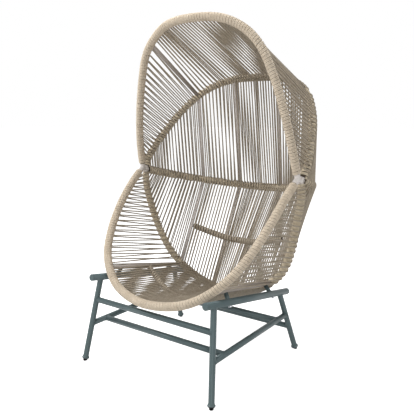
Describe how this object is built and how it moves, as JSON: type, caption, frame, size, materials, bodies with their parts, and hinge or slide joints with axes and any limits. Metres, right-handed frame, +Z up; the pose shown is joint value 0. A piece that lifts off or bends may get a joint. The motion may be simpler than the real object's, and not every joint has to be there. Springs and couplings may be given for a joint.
{
  "type": "pod chair",
  "caption": "Hooded pod lounge chair: a cage of bent tubes strung with rope, bolted onto a splayed tubular steel stand.",
  "frame": {"origin": "on the floor, under the middle of the chair's bounding box", "axes": "+Z up, the sitter faces -Y, +X to the right of someone looking along +Y"},
  "size_m": [0.9238, 0.9706, 1.5059],
  "materials": {
    "stand_paint": "satin grey-green powder coat",
    "pod_tube": "satin pale taupe powder coat",
    "hoop_rope": "close turns of light beige rope",
    "panel_rope": "strung beige-taupe rope",
    "glider_plastic": "moulded black",
    "bolt_steel": "zinc plated"
  },
  "bodies": {
    "root": {"rail_left": "stand_paint", "rail_cap_front_left": "stand_paint", "rail_cap_back_left": "stand_paint", "leg_front_left": "stand_paint", "leg_back_left": "stand_paint", "side_stretcher_left": "stand_paint", "glider_front_left": "glider_plastic", "glider_back_left": "glider_plastic", "pod_bolt_front_left": "bolt_steel", "pod_bolt_back_left": "bolt_steel", "rail_right": "stand_paint", "rail_cap_front_right": "stand_paint", "rail_cap_back_right": "stand_paint", "leg_front_right": "stand_paint", "leg_back_right": "stand_paint", "side_stretcher_right": "stand_paint", "glider_front_right": "glider_plastic", "glider_back_right": "glider_plastic", "pod_bolt_front_right": "bolt_steel", "pod_bolt_back_right": "bolt_steel", "front_stretcher": "stand_paint", "rear_stretcher": "stand_paint", "front_cross_stretcher": "stand_paint", "rear_cross_stretcher": "stand_paint", "hood_hoop": "pod_tube", "seat_hoop": "pod_tube", "back_arch": "pod_tube", "lower_hoop": "pod_tube", "mid_rail": "pod_tube", "lumbar_bar": "pod_tube", "seat_tie_bar": "pod_tube", "hood_strut_left": "pod_tube", "upper_rib_outer_left": "pod_tube", "upper_rib_inner_left": "pod_tube", "lower_rib_outer_left": "pod_tube", "lower_rib_inner_left": "pod_tube", "seat_rib_left": "pod_tube", "hood_strut_right": "pod_tube", "upper_rib_outer_right": "pod_tube", "upper_rib_inner_right": "pod_tube", "lower_rib_outer_right": "pod_tube", "lower_rib_inner_right": "pod_tube", "seat_rib_right": "pod_tube", "hood_hoop_wrap": "hoop_rope", "hood_rope_left": "panel_rope", "hood_rope_middle": "panel_rope", "hood_rope_right": "panel_rope", "upper_back_rope_left": "panel_rope", "upper_back_rope_middle": "panel_rope", "upper_back_rope_right": "panel_rope", "lower_back_rope_left": "panel_rope", "lower_back_rope_middle": "panel_rope", "lower_back_rope_right": "panel_rope", "seat_rope_left": "panel_rope", "seat_rope_middle": "panel_rope", "seat_rope_right": "panel_rope"}
  },
  "joints": []
}
